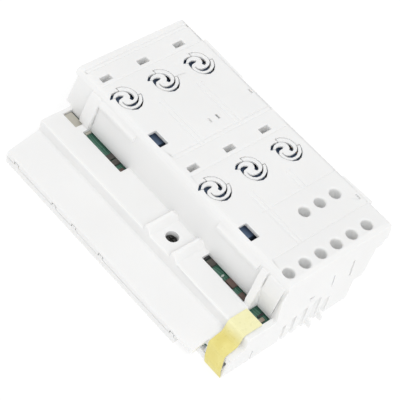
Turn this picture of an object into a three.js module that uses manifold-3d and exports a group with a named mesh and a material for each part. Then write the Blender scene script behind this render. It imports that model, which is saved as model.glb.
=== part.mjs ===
// Multi-channel solid state relay housing: white two-shell case, six sprung
// spiral pads over six blue relay modules, circuit board, cover screw and tape.
// Millimetres, +Z up, long axis along X, origin at the middle of the flat base.
import * as THREE from "three";
import { mergeVertices } from "three/addons/utils/BufferGeometryUtils.js";
import Module from "manifold-3d";

const wasm = await Module();
wasm.setup();

// ---------- driving sizes ----------
const gap = 0.3;
const wall = 1.8;
const frontWall = 2.8;

const blockBackX = -74;
const lowBackX = -70;
const frontX = 74;
const flangeY = -52;
const rightY = 50.7;
const lugY = 52;

const topZ = 40;
const deckZ = 19;
const coverBottomZ = 3.7;
const rimZ = 3.4;
const floorThick = 1.8;

// the front left corner is narrower than the flange, which overhangs it as a bare plate
const overhangX = 48.7;
const cornerX = 59.2;
const cornerY = -46;
const cornerTopY = -43.2;
const cornerTopZ = 9.8;

// the front right corner is stepped in twice below the top skirt
const stepX = 50;
const skirtZ = 31;
const midStepTopY = 44.6;
const midStepLowY = 39.4;
const lowStepZ = 13.2;
const lowStepY = 33.6;

// the back wall leans out downward from below the lip of the top plate
const backLipZ = 37;
const backTopX = -72.1;
const backDeckX = -73.2;

// repeats on the top
const cellPitchX = 60.8;
const cellPitchY = 22.6;
const padX = -48;
const padY = -7;
const padColumns = [0, 1];
const padRows = [0, 1, 2];
const holePitch = 10;

// ---------- small helpers ----------
function shapeOf(points) {
  return new THREE.Shape(points.map(([a, b]) => new THREE.Vector2(a, b)));
}

function extrude(points, depth) {
  return new THREE.ExtrudeGeometry(shapeOf(points), { depth, bevelEnabled: false, curveSegments: 8 });
}

// outline in Y and Z, drawn out along X
function prismX(points, x0, x1) {
  const turn = new THREE.Matrix4().makeBasis(
    new THREE.Vector3(0, 1, 0),
    new THREE.Vector3(0, 0, 1),
    new THREE.Vector3(1, 0, 0),
  );
  return extrude(points, x1 - x0).applyMatrix4(turn).translate(x0, 0, 0);
}

// outline in X and Z, drawn out along Y
function prismY(points, y0, y1) {
  const turn = new THREE.Matrix4().makeBasis(
    new THREE.Vector3(1, 0, 0),
    new THREE.Vector3(0, 0, 1),
    new THREE.Vector3(0, -1, 0),
  );
  return extrude(points, y1 - y0).applyMatrix4(turn).translate(0, y1, 0);
}

// outline in X and Y, drawn out along Z
function prismZ(points, z0, z1) {
  return extrude(points, z1 - z0).translate(0, 0, z0);
}

function box(x0, x1, y0, y1, z0, z1) {
  const geometry = new THREE.BoxGeometry(x1 - x0, y1 - y0, z1 - z0);
  return geometry.translate((x0 + x1) / 2, (y0 + y1) / 2, (z0 + z1) / 2);
}

function post(x, y, radius, z0, z1, segments = 24) {
  const geometry = new THREE.CylinderGeometry(radius, radius, z1 - z0, segments);
  return geometry.rotateX(Math.PI / 2).translate(x, y, (z0 + z1) / 2);
}

function solid(geometry) {
  const bare = geometry.clone();
  bare.deleteAttribute("normal");
  bare.deleteAttribute("uv");
  const merged = mergeVertices(bare);
  const vertProperties = new Float32Array(merged.attributes.position.array);
  const triVerts = new Uint32Array(merged.index.array);
  return new wasm.Manifold(new wasm.Mesh({ numProp: 3, vertProperties, triVerts }));
}

function unite(geometries) {
  return geometries.map(solid).reduce((sum, next) => sum.add(next));
}

function geometryOf(manifold) {
  const mesh = manifold.getMesh();
  const geometry = new THREE.BufferGeometry();
  geometry.setAttribute("position", new THREE.BufferAttribute(mesh.vertProperties, 3));
  geometry.setIndex(new THREE.BufferAttribute(mesh.triVerts, 1));
  return geometry;
}

const model = new THREE.Group();

function addPiece(name, geometry, color, roughness, metalness = 0) {
  const flat = geometry.index ? geometry.toNonIndexed() : geometry;
  flat.computeVertexNormals();
  const material = new THREE.MeshStandardMaterial({ color, roughness, metalness });
  material.name = name;
  const mesh = new THREE.Mesh(flat, material);
  mesh.name = name;
  model.add(mesh);
}

// ---------- the spiral slots of one pad ----------
// each slot is a line of [angle in degrees, radius, width] stations round the pad centre
const slotOne = [
  [28, 1.9, 1.2], [50, 2.1, 1.9], [75, 2.5, 2.1], [105, 2.9, 1.8], [134, 3.6, 1], [163, 4.35, 0.45],
  [184, 5, 0.4], [205, 5.9, 0.9], [222, 6.8, 1.3], [242, 7.4, 1.2], [246, 7.5, 1.2],
];
const slotTwo = [
  [197, 2.1, 0.7], [215, 2.8, 1.9], [230, 3.4, 2.9], [242, 4.05, 3], [258, 5, 1.5], [275, 5.6, 0.5],
  [294, 6.1, 0.35], [315, 6.5, 0.35], [338, 6.9, 0.7], [360, 7.15, 1.3], [382, 7.2, 1], [405, 7.25, 0.5],
  [425, 7.3, 0.4], [440, 7.35, 0.4], [444, 7.4, 0.4],
];
const slotThree = [
  [-80, 3.6, 0.6], [-57, 4.2, 0.8], [-38, 4.45, 1.3], [-18, 4.5, 1.6], [2, 4.5, 1.7], [24, 4.6, 1.3],
  [47, 5, 0.7], [66, 5.4, 0.5], [80, 5.65, 0.4], [97, 5.9, 0.4], [120, 6.25, 0.4], [142, 6.6, 0.4],
  [165, 6.95, 0.4], [184, 7.2, 0.4], [188, 7.25, 0.4],
];
const rootGap = 4;

// one side of a slot between two angles; side is +1 outside, -1 inside
function slotSide(slot, side, from, to) {
  const low = Math.min(from, to);
  const high = Math.max(from, to);
  const points = [];
  for (const [angle, radius, width] of slot) {
    if (angle < low - 0.01 || angle > high + 0.01) continue;
    const turn = THREE.MathUtils.degToRad(angle);
    const reach = radius + (side * width) / 2;
    points.push([reach * Math.cos(turn), reach * Math.sin(turn)]);
  }
  return from < to ? points : points.reverse();
}

// the sprung pad: hub and three arms, bounded by the slots
function padOutline() {
  return [
    ...slotSide(slotOne, -1, 242, 28),
    ...slotSide(slotOne, 1, 28, 184),
    ...slotSide(slotThree, -1, 184, -80),
    ...slotSide(slotThree, 1, -80, 80),
    ...slotSide(slotTwo, -1, 440, 197),
    ...slotSide(slotTwo, 1, 197, 242),
  ];
}

// the opening left in the cover round that pad
function openingOutline() {
  const startTwo = slotSide(slotTwo, 1, 258, 444);
  const closeTwo = slotStation(slotTwo, 242 + rootGap);
  const startThree = slotStation(slotThree, 80 + rootGap);
  const startOne = slotStation(slotOne, 184 + rootGap);
  return [
    closeTwo,
    ...startTwo,
    startThree,
    ...slotSide(slotThree, 1, 97, 188),
    startOne,
    ...slotSide(slotOne, 1, 205, 246),
  ];
}

// outer side of a slot at any angle, between its stations
function slotStation(slot, angle) {
  const after = slot.findIndex(([a]) => a > angle);
  const [a0, r0, w0] = slot[after - 1];
  const [a1, r1, w1] = slot[after];
  const share = (angle - a0) / (a1 - a0);
  const reach = r0 + (r1 - r0) * share + (w0 + (w1 - w0) * share) / 2;
  const turn = THREE.MathUtils.degToRad(angle);
  return [reach * Math.cos(turn), reach * Math.sin(turn)];
}

function padCentres() {
  return padColumns.flatMap((column) =>
    padRows.map((row) => [padX + column * cellPitchX, padY + row * cellPitchY]),
  );
}

// ---------- top cover ----------
// across the case: flange, riser, deck and tall block
const blockOutline = [
  [-17.88, deckZ + 1], [-16.2, 34], [-15.6, 37.6], [-14.7, 39.2], [-13, topZ],
  [rightY - 1, topZ], [rightY, topZ - 1], [rightY, deckZ + 1],
];
const caseOutline = [
  [flangeY, coverBottomZ], [flangeY, 6.6], [-51.4, 7.2], [-35.8, 12.2], [-35.2, 12.9], [-35.2, 18.3],
  [-34.5, deckZ], [-18, deckZ], ...blockOutline.slice(1, 7), [rightY, coverBottomZ],
];
const blockHollow = [
  [-16, deckZ + 1 + wall], [-13.9, 36.6], [-12.6, topZ - wall],
  [rightY - wall, topZ - wall], [rightY - wall, deckZ + 1 + wall],
];
const caseHollow = [
  [flangeY + wall, -1], [flangeY + wall, 5.2], [-33.4, 10.6], [-33.4, deckZ - wall],
  [-16.3, deckZ - wall], ...blockHollow.slice(1, 4), [rightY - wall, -1],
];
const frontFace = [[68, topZ], [70.1, 39], [71, 36], [73.3, 16], [frontX, 0]];
const backFace = [[backDeckX, -2], [backDeckX, deckZ], [backTopX, backLipZ - 1], [blockBackX, backLipZ]];

// side view of the case: everything in front of the sloping face is cut off
function sideOutline(inset) {
  const front = frontFace.map(([x, z]) => [x - inset, z]);
  const back = inset > 0 ? [[backTopX + wall, -2], [backTopX + wall, backLipZ]] : backFace;
  return [...back, [back[back.length - 1][0], 50], [front[0][0], 50], ...front, [front[4][0], -2]];
}

// everything left of this slanted side is missing at the front left corner
function cornerCut(inset) {
  return [
    [-60, -2], [-60, deckZ + 2], [cornerTopY + inset, deckZ + 2],
    [cornerTopY + inset, cornerTopZ], [cornerY - 0.6 + inset, -2],
  ];
}

// everything right of this stepped side is missing at the front right corner
function stepCut(inset) {
  return [
    [midStepTopY - inset, skirtZ + inset], [midStepLowY - inset, lowStepZ + inset],
    [lowStepY - inset, lowStepZ + inset], [lowStepY - inset, -2],
    [rightY + 2, -2], [rightY + 2, skirtZ + inset],
  ];
}

// the room below the overhanging plate of the flange
const plateLowZ = 5.2;
const plateInnerZ = 6.55;
const underPlate = [
  [-60, -2], [-60, plateLowZ], [flangeY + wall, plateLowZ], [cornerY, plateInnerZ], [cornerY, -2],
];

function cutCorners(shell, inset) {
  const ahead = frontX + 2;
  return shell
    .subtract(solid(prismX(cornerCut(inset), cornerX - inset, ahead)))
    .subtract(solid(prismX(stepCut(inset), stepX - inset, ahead)));
}

function coverShell() {
  const sideView = solid(prismY(sideOutline(0), -70, 70));
  const outside = unite([
    prismX(blockOutline, blockBackX, frontX),
    prismX(caseOutline, lowBackX, frontX),
  ])
    .subtract(solid(prismX(underPlate, overhangX, cornerX + 1)));
  const apron = solid(box(72, frontX, cornerY, lowStepY, 0.4, coverBottomZ + 0.1));
  const hollow = unite([
    prismX(blockHollow, blockBackX + wall, frontX),
    prismX(caseHollow, lowBackX + wall, frontX),
  ])
    .subtract(solid(box(overhangX - wall, cornerX + 1, -60, cornerY + wall, -2, plateInnerZ + 1.4)))
    .intersect(solid(prismY(sideOutline(frontWall), -70, 70)));
  return cutCorners(outside.add(apron), 0)
    .add(unite(wallAdditions()))
    .intersect(sideView)
    .subtract(cutCorners(hollow, wall));
}

// buttresses, raised panels and rails on the left wall of the tall block
const rearButtress = [[-20, 18], [-19.7, 24], [-18, 33], [-16.6, 36.6], [-14, 37.6], [-14, 18]];
const rearButtressSpan = [-61, -54.5];
const frontButtress = [
  [-23, 18], [-22.9, 21.5], [-21, 25.5], [-18.4, 33], [-16.6, 36.6], [-14, 37.6], [-14, 18],
];
const frontButtressSpan = [54.6, 58.2];
const buttressLean = 0.13;
const panelOutline = [[-18.2, 18], [-18.2, 28], [-17.4, 33], [-16.4, 36.6], [-14, 37.8], [-14, 18]];
const panelSpans = [[59.3, 69], [70.6, frontX]];
const railOutline = [[-13.6, 39.6], [-17.5, 35], [-17.6, 33.4], [-14.4, 33.4]];
const railSpans = [[-54.5, -30], [26.5, 53]];

// moves each point along X by its drop below a height
function leanForward(geometry, topHeight, lean) {
  const place = geometry.attributes.position;
  for (let i = 0; i < place.count; i += 1) {
    const drop = Math.max(topHeight - place.getZ(i), 0);
    place.setX(i, place.getX(i) + drop * lean);
  }
  return geometry;
}

function wallAdditions() {
  const buttresses = [
    prismX(rearButtress, ...rearButtressSpan),
    leanForward(prismX(frontButtress, ...frontButtressSpan), backLipZ, buttressLean),
  ];
  const panels = panelSpans.map(([x0, x1]) => prismX(panelOutline, x0, x1));
  const rails = railSpans.map(([x0, x1]) => prismX(railOutline, x0, x1));
  return [...buttresses, ...panels, ...rails];
}

// two raised bars across the deck, either side of the screw
const barCrestX = [3.2, 21];
const barHeight = 3.6;
const barTopZ = deckZ + barHeight;
const barOutline = [
  [0, 18], [0, barTopZ - 0.5], [0.6, barTopZ], [1.8, barTopZ - 0.2], [4.2, deckZ + 0.4], [5.2, 18],
];
const barEnds = [
  [-35.2, 18], [-35.2, barTopZ - 1.2], [-34.2, barTopZ + 0.1], [-19.8, barTopZ + 0.1],
  [-18.4, barTopZ - 1.4], [-17, barTopZ - 1.6], [-17, 18],
];

// two lugs on the right edge of the top plate, seen from above, each with one slanted end
const lugRootY = 49;
const lugNarrowY = lugY - 0.9;
const lugOutlines = [
  [[-58.5, lugRootY], [-31, lugRootY], [-31, lugNarrowY], [-58.5, lugY]],
  [[38, lugRootY], [56, lugRootY], [56, lugY], [38, lugNarrowY]],
];
const lugSpan = [34, topZ - 0.4];

// thin fins at the foot of the front, along the left edge of the two widest vents
const finThick = 1;
const finOutline = [[72, 0.4], [76.6, 0.4], [76.4, 3.6], [74, 5.6], [72, 5.6]];

function deckBar(crest) {
  const section = barOutline.map(([x, z]) => [x + crest, z]);
  const length = solid(prismY(section, barEnds[0][0], barEnds.at(-1)[0]));
  const ends = solid(prismX(barEnds, crest - 1, crest + 6));
  return geometryOf(length.intersect(ends));
}

function coverAdditions() {
  const bars = barCrestX.map(deckBar);
  const lugs = lugOutlines.map((outline) => prismZ(outline, ...lugSpan));
  const skirtTip = box(69.2, 71.2, 45.4, 49.6, 26.4, skirtZ + 1);
  const screwBoss = post(screwX, screwY, bossRadius, bossBottomZ, deckZ - 1, 28);
  return [...bars, ...lugs, skirtTip, screwBoss];
}

// blind wells with rounded mouths hang below the top plate as cups
const roundRadius = 2.75;
const roundMouth = 1.05;
const roundSides = 24;
const roundRecesses = [
  { x: 64.2, y: -10.3, count: 6 },
  { x: 43.5, y: 19.7, count: 3 },
];
const wellDepth = 7.4;
const cupSkin = 0.7;
const cupWall = 0.8;
const squareHalf = [1.45, 2.9];
const squareMouth = 0.7;
const squareOffset = [-14.4, -0.7];
const mouthSteps = 4;

function roundRing(x, y, radius) {
  return Array.from({ length: roundSides }, (_, i) => {
    const turn = (i / roundSides) * 2 * Math.PI;
    return [x + radius * Math.cos(turn), y + radius * Math.sin(turn)];
  });
}

function squareRing(x, y, spread) {
  const [halfX, halfY] = squareHalf.map((half) => half + spread);
  return [[x - halfX, y - halfY], [x + halfX, y - halfY], [x + halfX, y + halfY], [x - halfX, y + halfY]];
}

// the hollow of one well; ringAt gives its outline when spread outwards from the throat
function wellHollow(ringAt, mouth) {
  const levels = [{ spread: mouth, z: topZ + 1 }];
  for (let step = 0; step <= mouthSteps; step += 1) {
    const turn = ((step / mouthSteps) * Math.PI) / 2;
    levels.push({ spread: mouth * (1 - Math.sin(turn)), z: topZ - mouth * (1 - Math.cos(turn)) });
  }
  levels.push({ spread: 0, z: topZ - wellDepth });
  const rings = levels.map(({ spread, z }) => ringAt(spread).map(([a, b]) => [a, b, z]));
  const slices = rings.slice(1).map((ring, i) => wasm.Manifold.hull([...rings[i], ...ring]));
  return wasm.Manifold.union(slices);
}

function recesses() {
  const cups = [];
  const hollows = [];
  const cupSpan = [topZ - wellDepth - cupSkin, topZ - 1];
  for (const { x, y, count } of roundRecesses) {
    for (let i = 0; i < count; i += 1) {
      const at = y + i * holePitch;
      cups.push(post(x, at, roundRadius + cupWall, ...cupSpan));
      hollows.push(wellHollow((spread) => roundRing(x, at, roundRadius + spread), roundMouth));
    }
  }
  for (const [x, y] of padCentres()) {
    const at = [x + squareOffset[0], y + squareOffset[1]];
    cups.push(prismZ(squareRing(...at, cupWall), ...cupSpan));
    hollows.push(wellHollow((spread) => squareRing(...at, spread), squareMouth));
  }
  return { cups, hollows };
}

// the cover screw sits at the bottom of a counterbore in a boss below the deck
const screwX = 13.2;
const screwY = -26.7;
const boreRadius = 3.1;
const screwSeatZ = 14.8;
const screwHoleRadius = 1.7;
const bossRadius = 4.4;
const bossBottomZ = 13.2;

const deckSlots = [
  [-68, -58.5, -23.9], [-54.6, -27.3, -22.9], [28.9, 57.3, -22.9], [60.7, 70, -24],
];
const deckSlotTopY = -18;
const snapX = [-63, -35.5, -21.4, -2.3, 46.4];
const snapHalf = 1.1;
const snapWindowHalf = 1.6;
const lightWindow = { fromPad: 21.5, length: 8.7, lowY: -13.2, highY: -8.2 };
const slitWidth = 1.1;
const topSlits = [
  { x0: -24, x1: -21, y: 47.2, depth: 1.1 },
  { x0: -20, x1: -17.2, y: 22.4, depth: wall + 0.4 },
  { x0: -20, x1: -17.2, y: 17.5, depth: 1.1 },
  { x0: 49, x1: 52, y: 47.2, depth: 1.1 },
];
// scooped vents: deep at their left edge and shallow at their right edge
const ventDepth = [2.4, 0.5];
const vents = [
  { y: -11.5, width: 2.2, top: 11.5 },
  { y: -5.9, width: 2.7, top: 13.3 },
  { y: 0.4, width: 3.2, top: 15 },
  { y: 7.2, width: 4.6, top: 16.6 },
  { y: 14.6, width: 4, top: 12.4 },
];
const faceGrooves = [
  { y: 16.2, width: 0.8, bottom: 20, top: 27.4 },
  { y: 28, width: 1.3, bottom: 19.2, top: 29.6 },
  { y: -29.5, width: 0.8, bottom: 0, top: 7 },
];
const faceSlit = { y: 2.5, width: 2.9, bottom: 19.8, top: 21.1 };
const cornerWindow = [56.5, 60.3, -47, -42, 3.3, 6.8];
const cornerNotch = [70.9, 72.2, -50, -40, 3, 7.4];

function coverOpenings() {
  const voids = [];
  for (const [x, y] of padCentres()) {
    voids.push(prismZ(openingOutline().map(([a, b]) => [a + x, b + y]), topZ - wall - 0.5, topZ + 1));
  }
  for (const column of padColumns) {
    const x = padX + lightWindow.fromPad + column * cellPitchX;
    voids.push(box(x, x + lightWindow.length, lightWindow.lowY, lightWindow.highY, topZ - 3, topZ + 1));
  }
  for (const [x0, x1, y0] of deckSlots) voids.push(box(x0, x1, y0, deckSlotTopY, deckZ - 3, deckZ + 0.02));
  for (const x of snapX) {
    voids.push(box(x - snapWindowHalf, x + snapWindowHalf, flangeY - 1, flangeY + 3, 0, 5.3));
  }
  for (const { x0, x1, y, depth } of topSlits) {
    voids.push(box(x0, x1, y, y + slitWidth, topZ - depth, topZ + 1));
  }
  for (const vent of vents) voids.push(faceCut({ ...vent, bottom: -1 }, ...ventDepth));
  for (const groove of faceGrooves) voids.push(faceCut(groove, 0.8, 0.8));
  voids.push(faceCut(faceSlit, frontWall + 1, frontWall + 1));
  voids.push(post(screwX, screwY, boreRadius, screwSeatZ, deckZ + 1, 36));
  voids.push(post(screwX, screwY, screwHoleRadius, bossBottomZ - 1, deckZ + 1));
  voids.push(box(...cornerWindow));
  voids.push(box(...cornerNotch));
  return voids;
}

// a cut in the sloping front face, with its own depth at the left and right edges
function faceCut({ y, width, bottom, top }, leftDepth, rightDepth) {
  const outline = [[-leftDepth, y], [3, y], [3, y + width], [-rightDepth, y + width]];
  const cut = prismZ(outline, bottom, top);
  const place = cut.attributes.position;
  for (let i = 0; i < place.count; i += 1) place.setX(i, place.getX(i) + faceX(place.getZ(i)));
  return cut;
}

function faceX(z) {
  const [[xHigh, zHigh], [xLow, zLow]] = [frontFace[2], frontFace[4]];
  return xLow + ((xHigh - xLow) * (z - zLow)) / (zHigh - zLow);
}

// soft joint lines moulded in the top: shallow grooves with sloping sides
const grooveDepth = 0.36;
const grooveSlope = 0.6;
const linesAcross = [[-70.9, -14, 49], [-68.9, -14, 49], [-58.7, -14, 49], [-11.3, -12, 49], [-9.1, -12, 49],
  [2.1, -12, 49], [33.7, 2, 49], [55.3, -12, 49]];
const linesAlong = [[-38.5, -9.1, 4.5], [-38.5, -9.1, 6.9], [-38.5, -9.1, 28.3], [-38.5, -9.1, 30.9],
  [22.5, 55.3, 4.5], [22.5, 55.3, 6.9], [22.5, 33.7, 28.3], [22.5, 33.7, 30.9]];

function grooveOutline(middle) {
  const reach = (2 * grooveDepth) / grooveSlope;
  const above = topZ + grooveDepth;
  return [[middle - reach, above], [middle, topZ - grooveDepth], [middle + reach, above]];
}

function topLines() {
  const across = linesAcross.map(([x, y0, y1]) => prismY(grooveOutline(x), y0, y1));
  const along = linesAlong.map(([x0, x1, y]) => prismX(grooveOutline(y), x0, x1));
  return [...across, ...along];
}

function topCover() {
  const { cups, hollows } = recesses();
  const fins = vents.slice(3).map(({ y }) => prismY(finOutline, y - finThick, y));
  return geometryOf(
    coverShell()
      .add(unite([...coverAdditions(), ...cups]))
      .subtract(wasm.Manifold.union(hollows))
      .subtract(unite(coverOpenings()))
      .subtract(unite(topLines()))
      .add(unite(fins)),
  );
}

// ---------- base tray ----------
const trayFrontX = 70.8;
const trayCornerY = -45.6;

function trayOutline(inset, slant = 0) {
  return [
    [lowBackX + inset, flangeY + inset],
    [overhangX - inset, flangeY + inset],
    [overhangX - inset, trayCornerY + inset + slant],
    [trayFrontX - inset, trayCornerY + inset + slant],
    [trayFrontX - inset, lowStepY - inset],
    [stepX - inset, lowStepY - inset],
    [stepX - inset, rightY - inset],
    [lowBackX + inset, rightY - inset],
  ];
}

const locatorTopZ = 4.6;
const cornerSlant = 1.2;
const boardBottomZ = 14.2;
const boardThick = 1.6;
const supportPosts = [[-62, -16], [-62, 41], [-6, 41], [-6, -16], [54, -14], [54, 28]];

function baseTray() {
  const locator = wall + gap;
  const pan = solid(prismZ(trayOutline(0), 0, rimZ))
    .add(solid(prismZ(trayOutline(locator, cornerSlant), 1, locatorTopZ)))
    .subtract(solid(prismZ(trayOutline(locator + 1.6, cornerSlant), floorThick, 12)));
  const posts = supportPosts.map(([x, y]) => post(x, y, 2.6, 1, boardBottomZ - gap, 20));
  const screwPost = post(screwX, screwY, 3.3, 1, bossBottomZ - gap, 20);
  const snaps = snapX.map((x) => box(x - snapHalf, x + snapHalf, flangeY, flangeY + 1.4, 2, 4.9));
  return geometryOf(
    pan
      .add(unite([...posts, screwPost, ...snaps]))
      .subtract(solid(post(screwX, screwY, shankRadius + gap, 3, deckZ, 20))),
  );
}

// ---------- pieces inside ----------
const boardTopZ = boardBottomZ + boardThick;
const relayTopZ = 35.7;

function circuitBoard() {
  const margin = wall + 0.6;
  const [backEnd, frontEnd, edgeY] = [-67.6, 69.9, -24.5];
  const notch = bossRadius + 0.6;
  const outline = [
    [backEnd, edgeY], [screwX - notch, edgeY], [screwX - notch, screwY + notch],
    [screwX + notch, screwY + notch], [screwX + notch, edgeY],
    [frontEnd, edgeY], [frontEnd, lowStepY - margin], [stepX - margin, lowStepY - margin],
    [stepX - margin, rightY - margin], [backEnd, rightY - margin],
  ];
  return prismZ(outline, boardBottomZ, boardTopZ);
}

function relayModule(x, y) {
  const length = 35.9;
  const halfWidth = 6.2;
  const x0 = x - 9.4;
  const chamfer = 0.8;
  const z0 = boardTopZ + gap;
  const outline = [
    [y - halfWidth, z0], [y + halfWidth, z0], [y + halfWidth, relayTopZ - chamfer],
    [y + halfWidth - chamfer, relayTopZ], [y - halfWidth + chamfer, relayTopZ],
    [y - halfWidth, relayTopZ - chamfer],
  ];
  return prismX(outline, x0, x0 + length);
}

const padThick = 1;
const footLength = 1.7;
const footRadius = 1.5;

function springPad(x, y) {
  const outline = padOutline().map(([a, b]) => [a + x, b + y]);
  const plate = solid(prismZ(outline, topZ - padThick, topZ));
  const footBottomZ = topZ - padThick - footLength;
  const foot = solid(post(x + 0.9, y - 1.1, footRadius, footBottomZ, topZ - padThick / 2, 16));
  return geometryOf(plate.add(foot));
}

const headRadius = 2.8;
const shankRadius = 1.35;

function coverScrew() {
  const seat = screwSeatZ + gap;
  const headTop = seat + 2;
  const profile = [
    [0, seat], [headRadius, seat], [headRadius, seat + 1.5], [headRadius - 0.3, seat + 1.8], [0, headTop],
  ];
  const head = new THREE.LatheGeometry(profile.map(([r, z]) => new THREE.Vector2(r, z)), 28)
    .rotateX(Math.PI / 2)
    .translate(screwX, screwY, 0);
  const shank = post(screwX, screwY, shankRadius, 5, seat + 0.5, 16);
  const [armLength, armHalf] = [1.5, 0.35];
  const slotBottomZ = headTop - 1;
  const crossSlots = unite([
    box(screwX - armLength, screwX + armLength, screwY - armHalf, screwY + armHalf, slotBottomZ, deckZ),
    box(screwX - armHalf, screwX + armHalf, screwY - armLength, screwY + armLength, slotBottomZ, deckZ),
  ]);
  return geometryOf(unite([head, shank]).subtract(crossSlots));
}

// tape runs from the deck over the riser and flange and, leaning forward, down the corner side
const tapeThick = 0.35;
const tapeLean = 0.33;
const tapeSpan = [60.3, 70.4];
const tapePath = [[-24.6, 19.3], [-34.7, 19.3], [-35.5, 18.6], [-36.4, 13.9], [-37.4, 12.1],
  [-43.2, 10.2], [-43.8, 9.6], [-45.9, 3.4], [-46, 0.3]];

function tapeStrip() {
  const outer = tapePath.map(([y, z], i) => {
    const [yb, zb] = tapePath[Math.max(i - 1, 0)];
    const [ya, za] = tapePath[Math.min(i + 1, tapePath.length - 1)];
    const span = Math.hypot(ya - yb, za - zb);
    return [y + ((za - zb) / span) * tapeThick, z - ((ya - yb) / span) * tapeThick];
  });
  const strip = prismX([...tapePath, ...outer.reverse()], ...tapeSpan);
  return leanForward(strip, cornerTopZ, tapeLean);
}

// ---------- build ----------
const white = 0xf1f1ef;

addPiece("base_tray", baseTray(), white, 0.4);
addPiece("top_cover", topCover(), white, 0.38);
addPiece("circuit_board", circuitBoard(), 0x2d7a55, 0.55);
padCentres().forEach(([x, y], i) => {
  addPiece(`relay_module_${i + 1}`, relayModule(x, y), 0x1f3566, 0.4);
});
padCentres().forEach(([x, y], i) => {
  addPiece(`spring_pad_${i + 1}`, springPad(x, y), 0xf4f4f2, 0.38);
});
addPiece("cover_screw", coverScrew(), 0x2a2a28, 0.35, 0.8);
addPiece("tape_strip", tapeStrip(), 0xe8d77a, 0.3);
addPiece("rear_header", box(-67.6, -58.9, -23.5, -18.7, boardTopZ + gap, 17.7), 0xb9b5a8, 0.6);
addPiece("side_board", box(20, 59.8, -43.6, -36, locatorTopZ + gap, locatorTopZ + gap + 1.5), 0x3a8660, 0.55);
addPiece("board_chip", box(64.8, 65.6, -21.4, -18.2, boardTopZ + gap, 16.9), 0x2b2b2b, 0.5);
addPiece("board_capacitor", box(66.4, 68.3, -22.8, -19.8, boardTopZ + gap, 17), 0x9a948a, 0.5);

export default model;
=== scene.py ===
"""Looks for a multi-channel solid state relay housing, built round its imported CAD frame.

Metres, +Z up, the same frame as the CAD. Every CAD node stays where it is: it gets rounded
edges from modifiers and a procedural material. Small board parts are added under the slots.
"""

import math

import bpy
from mathutils import Matrix, Vector


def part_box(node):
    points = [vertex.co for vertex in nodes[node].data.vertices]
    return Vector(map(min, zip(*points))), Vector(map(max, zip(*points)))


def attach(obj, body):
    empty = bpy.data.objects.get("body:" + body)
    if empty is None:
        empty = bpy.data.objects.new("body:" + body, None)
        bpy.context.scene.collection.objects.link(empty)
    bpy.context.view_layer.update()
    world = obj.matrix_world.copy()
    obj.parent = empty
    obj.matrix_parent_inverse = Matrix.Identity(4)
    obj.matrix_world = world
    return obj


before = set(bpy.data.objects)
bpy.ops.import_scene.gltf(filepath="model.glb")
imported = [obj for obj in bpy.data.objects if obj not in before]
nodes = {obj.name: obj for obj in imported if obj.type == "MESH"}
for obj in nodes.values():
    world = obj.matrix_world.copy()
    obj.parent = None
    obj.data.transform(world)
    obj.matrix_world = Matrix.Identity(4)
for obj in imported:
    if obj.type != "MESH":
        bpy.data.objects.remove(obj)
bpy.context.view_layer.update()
mm = 0.001


# ---------- camera ----------
AIM = Vector((4.6 * mm, -2.4 * mm, 20 * mm))
DISTANCE = 719.6 * mm
AZIMUTH = math.radians(31.96)
ELEVATION = math.radians(48.04)
ROLL = math.radians(21.06)
LENS = 144.0


def make_camera():
    data = bpy.data.cameras.new("camera")
    data.lens = LENS
    data.sensor_width = 36.0
    camera = bpy.data.objects.new("camera", data)
    bpy.context.scene.collection.objects.link(camera)
    level = math.cos(ELEVATION)
    back = Vector((math.sin(AZIMUTH) * level, -math.cos(AZIMUTH) * level, math.sin(ELEVATION)))
    right = Vector((math.cos(AZIMUTH), math.sin(AZIMUTH), 0))
    up = back.cross(right)
    rolled_right = right * math.cos(ROLL) + up * math.sin(ROLL)
    rolled_up = up * math.cos(ROLL) - right * math.sin(ROLL)
    turn = Matrix((rolled_right, rolled_up, back)).transposed()
    camera.matrix_world = Matrix.Translation(AIM + back * DISTANCE) @ turn.to_4x4()
    bpy.context.scene.camera = camera


# ---------- studio ----------
def soft_sun(name, direction, strength, angle):
    """A large far softbox: even light from one side, with wide soft shadows."""
    data = bpy.data.lights.new(name, "SUN")
    data.energy = strength
    data.angle = math.radians(angle)
    light = bpy.data.objects.new(name, data)
    bpy.context.scene.collection.objects.link(light)
    light.rotation_mode = "QUATERNION"
    light.rotation_quaternion = Vector(direction).to_track_quat("Z", "Y")


def make_studio():
    scene = bpy.context.scene
    scene.view_settings.view_transform = "Standard"
    world = bpy.data.worlds.new("studio")
    scene.world = world
    world.use_nodes = True
    background = world.node_tree.nodes["Background"]
    background.inputs["Color"].default_value = (1.0, 1.0, 1.0, 1)
    background.inputs["Strength"].default_value = 0.79

    soft_sun("key_light", (0.42, -0.32, 0.85), 0.97, 40)

    make_floor()


def make_floor():
    """A plain pale floor just below the case, bright enough to match a white background."""
    floor_mesh = bpy.data.meshes.new("floor")
    reach = 6.0
    corners = [(-reach, -reach, 0), (reach, -reach, 0), (reach, reach, 0), (-reach, reach, 0)]
    floor_mesh.from_pydata(corners, [], [(0, 1, 2, 3)])
    floor = bpy.data.objects.new("floor", floor_mesh)
    floor.location.z = -0.2 * mm
    bpy.context.scene.collection.objects.link(floor)
    material, tree, shader = new_material("floor_white")
    shader.inputs["Base Color"].default_value = (0.40, 0.40, 0.40, 1)
    shader.inputs["Roughness"].default_value = 0.9
    shader.inputs["Emission Color"].default_value = (1, 1, 1, 1)
    shader.inputs["Emission Strength"].default_value = 0.62
    floor_mesh.materials.append(material)


# ---------- node helpers ----------
def new_material(name):
    material = bpy.data.materials.new(name)
    material.use_nodes = True
    tree = material.node_tree
    tree.nodes.clear()
    output = tree.nodes.new("ShaderNodeOutputMaterial")
    shader = tree.nodes.new("ShaderNodeBsdfPrincipled")
    tree.links.new(shader.outputs["BSDF"], output.inputs["Surface"])
    return material, tree, shader


def object_coordinates(tree):
    return tree.nodes.new("ShaderNodeTexCoord").outputs["Object"]


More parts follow.
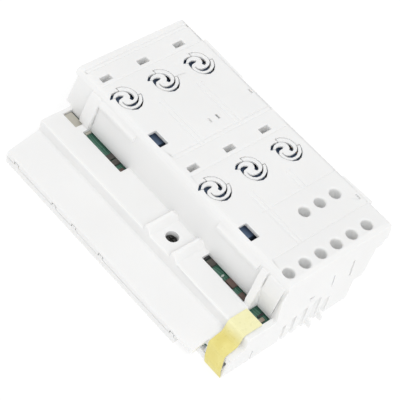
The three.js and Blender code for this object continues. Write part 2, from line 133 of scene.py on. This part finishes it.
def noise(tree, scale, detail=3.0, roughness=0.55, stretch=None):
    """Noise over the row frame; scale is in features per metre."""
    place = object_coordinates(tree)
    if stretch:
        mapping = tree.nodes.new("ShaderNodeMapping")
        mapping.inputs["Scale"].default_value = stretch
        tree.links.new(place, mapping.inputs["Vector"])
        place = mapping.outputs["Vector"]
    texture = tree.nodes.new("ShaderNodeTexNoise")
    texture.inputs["Scale"].default_value = scale
    texture.inputs["Detail"].default_value = detail
    texture.inputs["Roughness"].default_value = roughness
    tree.links.new(place, texture.inputs["Vector"])
    return texture.outputs["Fac"]


def ramp(tree, value, low, high, position_low=0.35, position_high=0.65):
    """Colours from low to high as value rises; a single number stands for a grey."""
    node = tree.nodes.new("ShaderNodeValToRGB")
    for stop, position, tone in ((0, position_low, low), (1, position_high, high)):
        colour = tone if isinstance(tone, tuple) else (tone, tone, tone)
        node.color_ramp.elements[stop].position = position
        node.color_ramp.elements[stop].color = (*colour, 1)
    tree.links.new(value, node.inputs["Fac"])
    return node.outputs["Color"]


def spread(tree, value, low, high):
    """Maps 0.25..0.75 of a noise to a range of numbers."""
    node = tree.nodes.new("ShaderNodeMapRange")
    node.inputs["From Min"].default_value = 0.25
    node.inputs["From Max"].default_value = 0.75
    node.inputs["To Min"].default_value = low
    node.inputs["To Max"].default_value = high
    tree.links.new(value, node.inputs["Value"])
    return node.outputs["Result"]


def height_share(tree, low, high):
    """0 below one height of the row frame, 1 above the other."""
    split = tree.nodes.new("ShaderNodeSeparateXYZ")
    tree.links.new(object_coordinates(tree), split.inputs["Vector"])
    node = tree.nodes.new("ShaderNodeMapRange")
    node.inputs["From Min"].default_value = low
    node.inputs["From Max"].default_value = high
    tree.links.new(split.outputs["Z"], node.inputs["Value"])
    return node.outputs["Result"]


def blend_colour(tree, share, first, second):
    node = tree.nodes.new("ShaderNodeMix")
    node.data_type = "RGBA"
    tree.links.new(share, node.inputs["Factor"])
    for socket, colour in ((node.inputs[6], first), (node.inputs[7], second)):
        if isinstance(colour, tuple):
            socket.default_value = (*colour, 1)
        else:
            tree.links.new(colour, socket)
    return node.outputs[2]


def bump(tree, shader, height, depth, strength=1.0, below=None):
    node = tree.nodes.new("ShaderNodeBump")
    node.inputs["Distance"].default_value = depth
    node.inputs["Strength"].default_value = strength
    tree.links.new(height, node.inputs["Height"])
    if below is not None:
        tree.links.new(below, node.inputs["Normal"])
    tree.links.new(node.outputs["Normal"], shader.inputs["Normal"])
    return node.outputs["Normal"]


# ---------- materials ----------
def white_plastic(name, tone, grain_depth):
    """Moulded white plastic: spark-eroded grain, slow tone drift, faint handling marks."""
    material, tree, shader = new_material(name)
    drift = noise(tree, 22, 2.0)
    low = tuple(c * 0.975 for c in tone)
    tree.links.new(ramp(tree, drift, low, tone), shader.inputs["Base Color"])
    marks = noise(tree, 160, 5.0, 0.7)
    tree.links.new(spread(tree, marks, 0.36, 0.52), shader.inputs["Roughness"])
    shader.inputs["IOR"].default_value = 1.46
    shader.inputs["Subsurface Weight"].default_value = 0.35
    shader.inputs["Subsurface Radius"].default_value = (1.0, 0.95, 0.9)
    shader.inputs["Subsurface Scale"].default_value = 1.6 * mm
    waviness = bump(tree, shader, noise(tree, 60, 1.0), 0.05 * mm, 0.6)
    bump(tree, shader, noise(tree, 2600, 2.0), grain_depth, 0.7, waviness)
    return material


def board_laminate():
    """Green solder mask over glass weave, with lighter tracks."""
    material, tree, shader = new_material("solder_mask_green")
    weave = noise(tree, 1400, 1.0, 0.5, (1.0, 0.25, 1.0))
    base = ramp(tree, weave, (0.040, 0.115, 0.080), (0.060, 0.150, 0.108))
    tracks = tree.nodes.new("ShaderNodeTexWave")
    tracks.wave_type = "BANDS"
    tracks.bands_direction = "Y"
    tracks.inputs["Scale"].default_value = 260
    tracks.inputs["Distortion"].default_value = 7.0
    tracks.inputs["Detail"].default_value = 0.0
    tracks.inputs["Detail Scale"].default_value = 0.6
    tree.links.new(object_coordinates(tree), tracks.inputs["Vector"])
    lines = ramp(tree, tracks.outputs["Fac"], 0.0, 1.0, 0.62, 0.70)
    copper = blend_colour(tree, lines, base, (0.095, 0.215, 0.160))
    tree.links.new(copper, shader.inputs["Base Color"])
    tree.links.new(spread(tree, noise(tree, 300), 0.25, 0.42), shader.inputs["Roughness"])
    bump(tree, shader, tracks.outputs["Fac"], 0.03 * mm, 0.8)
    return material


def satin_plastic(name, low, high, rough_low, rough_high, grain=1800):
    """A small moulded body: two close tones, varied sheen and a fine grain."""
    material, tree, shader = new_material(name)
    tree.links.new(ramp(tree, noise(tree, 90, 3.0), low, high), shader.inputs["Base Color"])
    sheen = spread(tree, noise(tree, 240, 4.0), rough_low, rough_high)
    tree.links.new(sheen, shader.inputs["Roughness"])
    bump(tree, shader, noise(tree, grain, 2.0), 0.02 * mm, 0.6)
    return material


def black_oxide():
    """Blackened steel with a brushed sheen and bright worn patches spread by noise."""
    material, tree, shader = new_material("black_oxide_steel")
    wear = noise(tree, 700, 5.0, 0.7)
    tone = ramp(tree, wear, (0.030, 0.030, 0.028), (0.11, 0.11, 0.10), 0.45, 0.75)
    tree.links.new(tone, shader.inputs["Base Color"])
    shader.inputs["Metallic"].default_value = 0.8
    tree.links.new(spread(tree, wear, 0.50, 0.30), shader.inputs["Roughness"])
    bump(tree, shader, noise(tree, 3000, 1.0, 0.5, (1, 8, 1)), 0.01 * mm, 0.6)
    return material


# Heights of the tape's painted shading: full painted shade below the first, painted light above the second.
TAPE_SHADE_BELOW = 13.0 * mm
TAPE_TOP = 19.4 * mm


def tape_film():
    """Yellow adhesive film: glossy, mottled by the glue and creased, with painted light and shade: paler on
    top, darker and deeper yellow lower down.
    """
    material, tree, shader = new_material("yellow_film")
    glue = noise(tree, 130, 5.0, 0.65)
    # Painted shade and light: a darker, deeper yellow for the lower tape and a paler one for the top, blended
    # by height.
    shaded_lower_tone = ramp(tree, glue, (0.74, 0.64, 0.19), (0.83, 0.75, 0.28), 0.3, 0.7)
    lit_upper_tone = ramp(tree, glue, (0.86, 0.82, 0.45), (0.91, 0.88, 0.54), 0.3, 0.7)
    tone = blend_colour(tree, height_share(tree, TAPE_SHADE_BELOW, TAPE_TOP), shaded_lower_tone, lit_upper_tone)
    tree.links.new(tone, shader.inputs["Base Color"])
    tree.links.new(spread(tree, noise(tree, 420, 3.0), 0.22, 0.40), shader.inputs["Roughness"])
    shader.inputs["Coat Weight"].default_value = 0.25
    shader.inputs["Coat Roughness"].default_value = 0.15
    creases = noise(tree, 90, 2.0, 0.5, (3.0, 1.0, 1.0))
    waves = bump(tree, shader, creases, 0.12 * mm, 0.8)
    bump(tree, shader, noise(tree, 1500, 2.0), 0.01 * mm, 0.5, waves)
    return material


COVER_WHITE = (0.860, 0.860, 0.855)
TRAY_WHITE = (0.850, 0.850, 0.845)
PAD_WHITE = (0.870, 0.870, 0.865)
COARSE_GRAIN = 0.012 * mm
FINE_GRAIN = 0.008 * mm


def make_materials():
    return {
        "cover": white_plastic("cover_white", COVER_WHITE, COARSE_GRAIN),
        "tray": white_plastic("tray_white", TRAY_WHITE, COARSE_GRAIN),
        "pad": white_plastic("pad_white", PAD_WHITE, FINE_GRAIN),
        "board": board_laminate(),
        "relay": satin_plastic("relay_blue", (0.078, 0.122, 0.205), (0.130, 0.185, 0.285), 0.3, 0.5),
        "screw": black_oxide(),
        "tape": tape_film(),
        "header": satin_plastic("header_beige", (0.46, 0.44, 0.38), (0.55, 0.53, 0.46), 0.4, 0.6),
        "chip": satin_plastic("chip_black", (0.030, 0.030, 0.032), (0.055, 0.055, 0.058), 0.4, 0.6),
        "capacitor": satin_plastic("capacitor_tan", (0.21, 0.16, 0.12), (0.34, 0.28, 0.22), 0.4, 0.7),
        "grey_chip": satin_plastic("chip_grey", (0.055, 0.052, 0.045), (0.100, 0.088, 0.076), 0.4, 0.6, 2600),
        "brown": satin_plastic("resistor_brown", (0.085, 0.058, 0.048), (0.15, 0.095, 0.08), 0.4, 0.6, 2600),
        "pale": satin_plastic("cap_pale", (0.34, 0.40, 0.36), (0.46, 0.52, 0.48), 0.3, 0.5, 2600),
    }


# ---------- CAD nodes ----------
COVER_ROUNDING = 0.18 * mm
TRAY_ROUNDING = 0.2 * mm
PAD_ROUNDING = 0.12 * mm
RELAY_ROUNDING = 0.3 * mm
BLOCK_ROUNDING = 0.2 * mm
THIN_ROUNDING = 0.1 * mm


def round_edges(piece, width):
    """Moulded edges: flat faces are joined and split afresh first, so only true edges are rounded."""
    weld = piece.modifiers.new("weld", "WELD")
    weld.merge_threshold = 0.002 * mm
    flatten = piece.modifiers.new("flatten", "DECIMATE")
    flatten.decimate_type = "DISSOLVE"
    flatten.angle_limit = math.radians(0.5)
    piece.modifiers.new("triangles", "TRIANGULATE")
    bevel = piece.modifiers.new("edges", "BEVEL")
    bevel.width = width
    bevel.segments = 2
    bevel.limit_method = "ANGLE"
    bevel.angle_limit = math.radians(32)
    bevel.use_clamp_overlap = False
    bevel.miter_outer = "MITER_ARC"
    smooth_by_angle(piece, 40)


def smooth_by_angle(piece, degrees):
    """Smooth shading that keeps edges sharper than the angle."""
    for face in piece.data.polygons:
        face.use_smooth = True
    split = piece.modifiers.new("split", "EDGE_SPLIT")
    split.split_angle = math.radians(degrees)
    even = piece.modifiers.new("even", "WEIGHTED_NORMAL")
    even.weight = 100


def dress(node, material, width=0.0):
    piece = nodes[node]
    piece.data.materials.clear()
    piece.data.materials.append(material)
    if width:
        round_edges(piece, width)
    else:
        smooth_by_angle(piece, 35)


def dress_nodes(materials):
    dress("top_cover", materials["cover"], COVER_ROUNDING)
    dress("base_tray", materials["tray"], TRAY_ROUNDING)
    for i in range(1, 7):
        dress(f"spring_pad_{i}", materials["pad"], PAD_ROUNDING)
        dress(f"relay_module_{i}", materials["relay"], RELAY_ROUNDING)
    dress("circuit_board", materials["board"], THIN_ROUNDING)
    dress("side_board", materials["board"], THIN_ROUNDING)
    dress("cover_screw", materials["screw"], THIN_ROUNDING)
    dress("tape_strip", materials["tape"])
    dress("rear_header", materials["header"], BLOCK_ROUNDING)
    dress("board_chip", materials["chip"], THIN_ROUNDING)
    dress("board_capacitor", materials["capacitor"], BLOCK_ROUNDING)


# ---------- small parts on the board, seen through the deck slots ----------
BOARD_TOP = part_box("circuit_board")[1][2]
BOARD_PARTS = (
    # name, x from and to, y from and to and height in mm, material, slot
    ("rear_filter", (-57.2, -53.6), (-21.3, -17.6), 1.2, "header", "header_plastic"),
    ("driver_a", (-39.4, -36.3), (-21.5, -17.5), 1.2, "grey_chip", "chip_plastic"),
    ("driver_b", (-35.7, -32.6), (-21.5, -17.5), 1.2, "grey_chip", "chip_plastic"),
    ("resistor_a", (-30.2, -27.4), (-21.5, -18.6), 1.0, "brown", "capacitor_ceramic"),
    ("driver_c", (27.2, 30.0), (-21.6, -17.4), 1.2, "chip", "chip_plastic"),
    ("driver_d", (30.5, 34.4), (-21.4, -17.5), 1.2, "grey_chip", "chip_plastic"),
    ("spot_cap", (39.8, 40.8), (-20.7, -18.8), 0.9, "pale", "capacitor_ceramic"),
    ("inductor", (43.0, 48.0), (-20.9, -17.3), 1.2, "brown", "capacitor_ceramic"),
    ("resistor_b", (51.6, 56.0), (-21.5, -18.2), 1.1, "brown", "capacitor_ceramic"),
)


def ring(span_x, span_y, inset, corner, height):
    """Eight corners of a rectangle with its corners cut, at one height above the board."""
    x0, x1 = span_x[0] * mm + inset, span_x[1] * mm - inset
    y0, y1 = span_y[0] * mm + inset, span_y[1] * mm - inset
    flat = [(x0 + corner, y0), (x1 - corner, y0), (x1, y0 + corner), (x1, y1 - corner),
            (x1 - corner, y1), (x0 + corner, y1), (x0, y1 - corner), (x0, y0 + corner)]
    return [(x, y, BOARD_TOP + height) for x, y in flat]


def moulded_body(name, span_x, span_y, height, material):
    """A small moulded part: cut corners, a flat foot, a parting line and sides drawn in to the top."""
    height = height * mm
    draft = 0.12 * mm
    corner = 0.22 * mm
    lift = 0.02 * mm
    levels = ((lift, draft), (0.45 * height, 0.0), (0.52 * height, 0.0), (height, draft))
    points = []
    for level, inset in levels:
        points += ring(span_x, span_y, inset, corner, level)
    sides = 8
    faces = [tuple(range(sides))[::-1], tuple(range(len(points) - sides, len(points)))]
    for row in range(len(levels) - 1):
        for i in range(sides):
            after = (i + 1) % sides
            low = row * sides
            faces.append((low + i, low + after, low + sides + after, low + sides + i))
    mesh = bpy.data.meshes.new(name)
    mesh.from_pydata(points, [], faces)
    mesh.materials.append(material)
    piece = bpy.data.objects.new(name, mesh)
    bpy.context.scene.collection.objects.link(piece)
    bevel = piece.modifiers.new("edges", "BEVEL")
    bevel.width = 0.06 * mm
    bevel.segments = 2
    smooth_by_angle(piece, 35)
    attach(piece, "housing")


make_camera()
materials = make_materials()
make_studio()
dress_nodes(materials)
for name, span_x, span_y, height, finish, slot in BOARD_PARTS:
    moulded_body(name, span_x, span_y, height, materials[finish])
